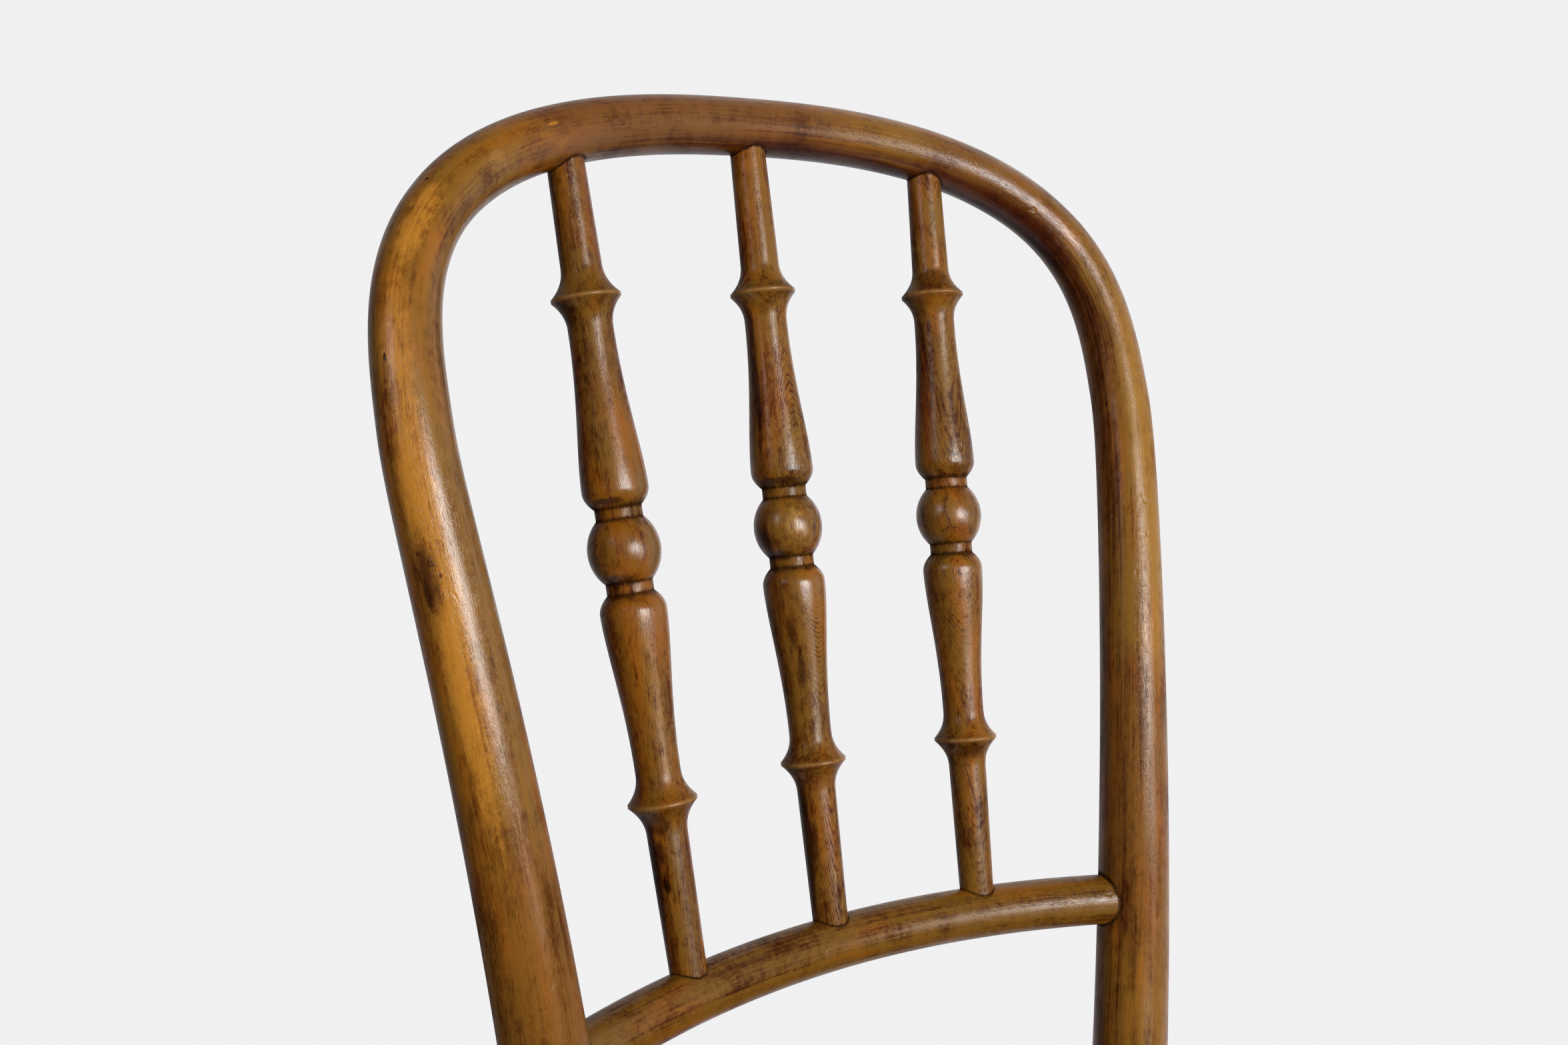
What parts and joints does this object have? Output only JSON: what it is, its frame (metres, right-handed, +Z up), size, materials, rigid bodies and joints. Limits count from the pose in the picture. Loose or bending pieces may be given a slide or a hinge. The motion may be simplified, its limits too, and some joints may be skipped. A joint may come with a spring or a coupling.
{
  "type": "bentwood side chair",
  "caption": "Worn bentwood side chair with a round seat, splayed legs, a leg ring and a bowed hoop back filled with turned spindles.",
  "frame": {"origin": "on the floor, at the centre of the chair's box", "axes": "+Z up, -Y the way the chair faces, +X to the right seen from the front"},
  "size_m": [0.406, 0.4764, 0.8899],
  "materials": {
    "bent_beech": "worn satin varnish over brown-stained beech, darker and greyer where handled, with burn and dirt marks",
    "turned_beech": "worn satin varnish over brown-stained beech, dirt in the turned hollows and lighter ring edges",
    "seat_plywood": "worn satin varnish over brown-stained plywood",
    "dark_steel": "dull, darkened and lightly rusted"
  },
  "bodies": {
    "root": {"back_hoop": "bent_beech", "front_leg_left": "turned_beech", "front_leg_right": "turned_beech", "leg_ring": "bent_beech", "leg_ring_screw_front_left": "dark_steel", "leg_ring_screw_front_right": "dark_steel", "leg_ring_screw_rear_left": "dark_steel", "leg_ring_screw_rear_right": "dark_steel", "lower_back_rail": "bent_beech", "seat_bolt_left": "dark_steel", "seat_bolt_right": "dark_steel", "seat_nut_left": "dark_steel", "seat_nut_right": "dark_steel", "seat_panel": "seat_plywood", "seat_rim": "bent_beech", "seat_washer_left": "dark_steel", "seat_washer_right": "dark_steel", "spindle_left": "turned_beech", "spindle_middle": "turned_beech", "spindle_right": "turned_beech"}
  },
  "joints": []
}
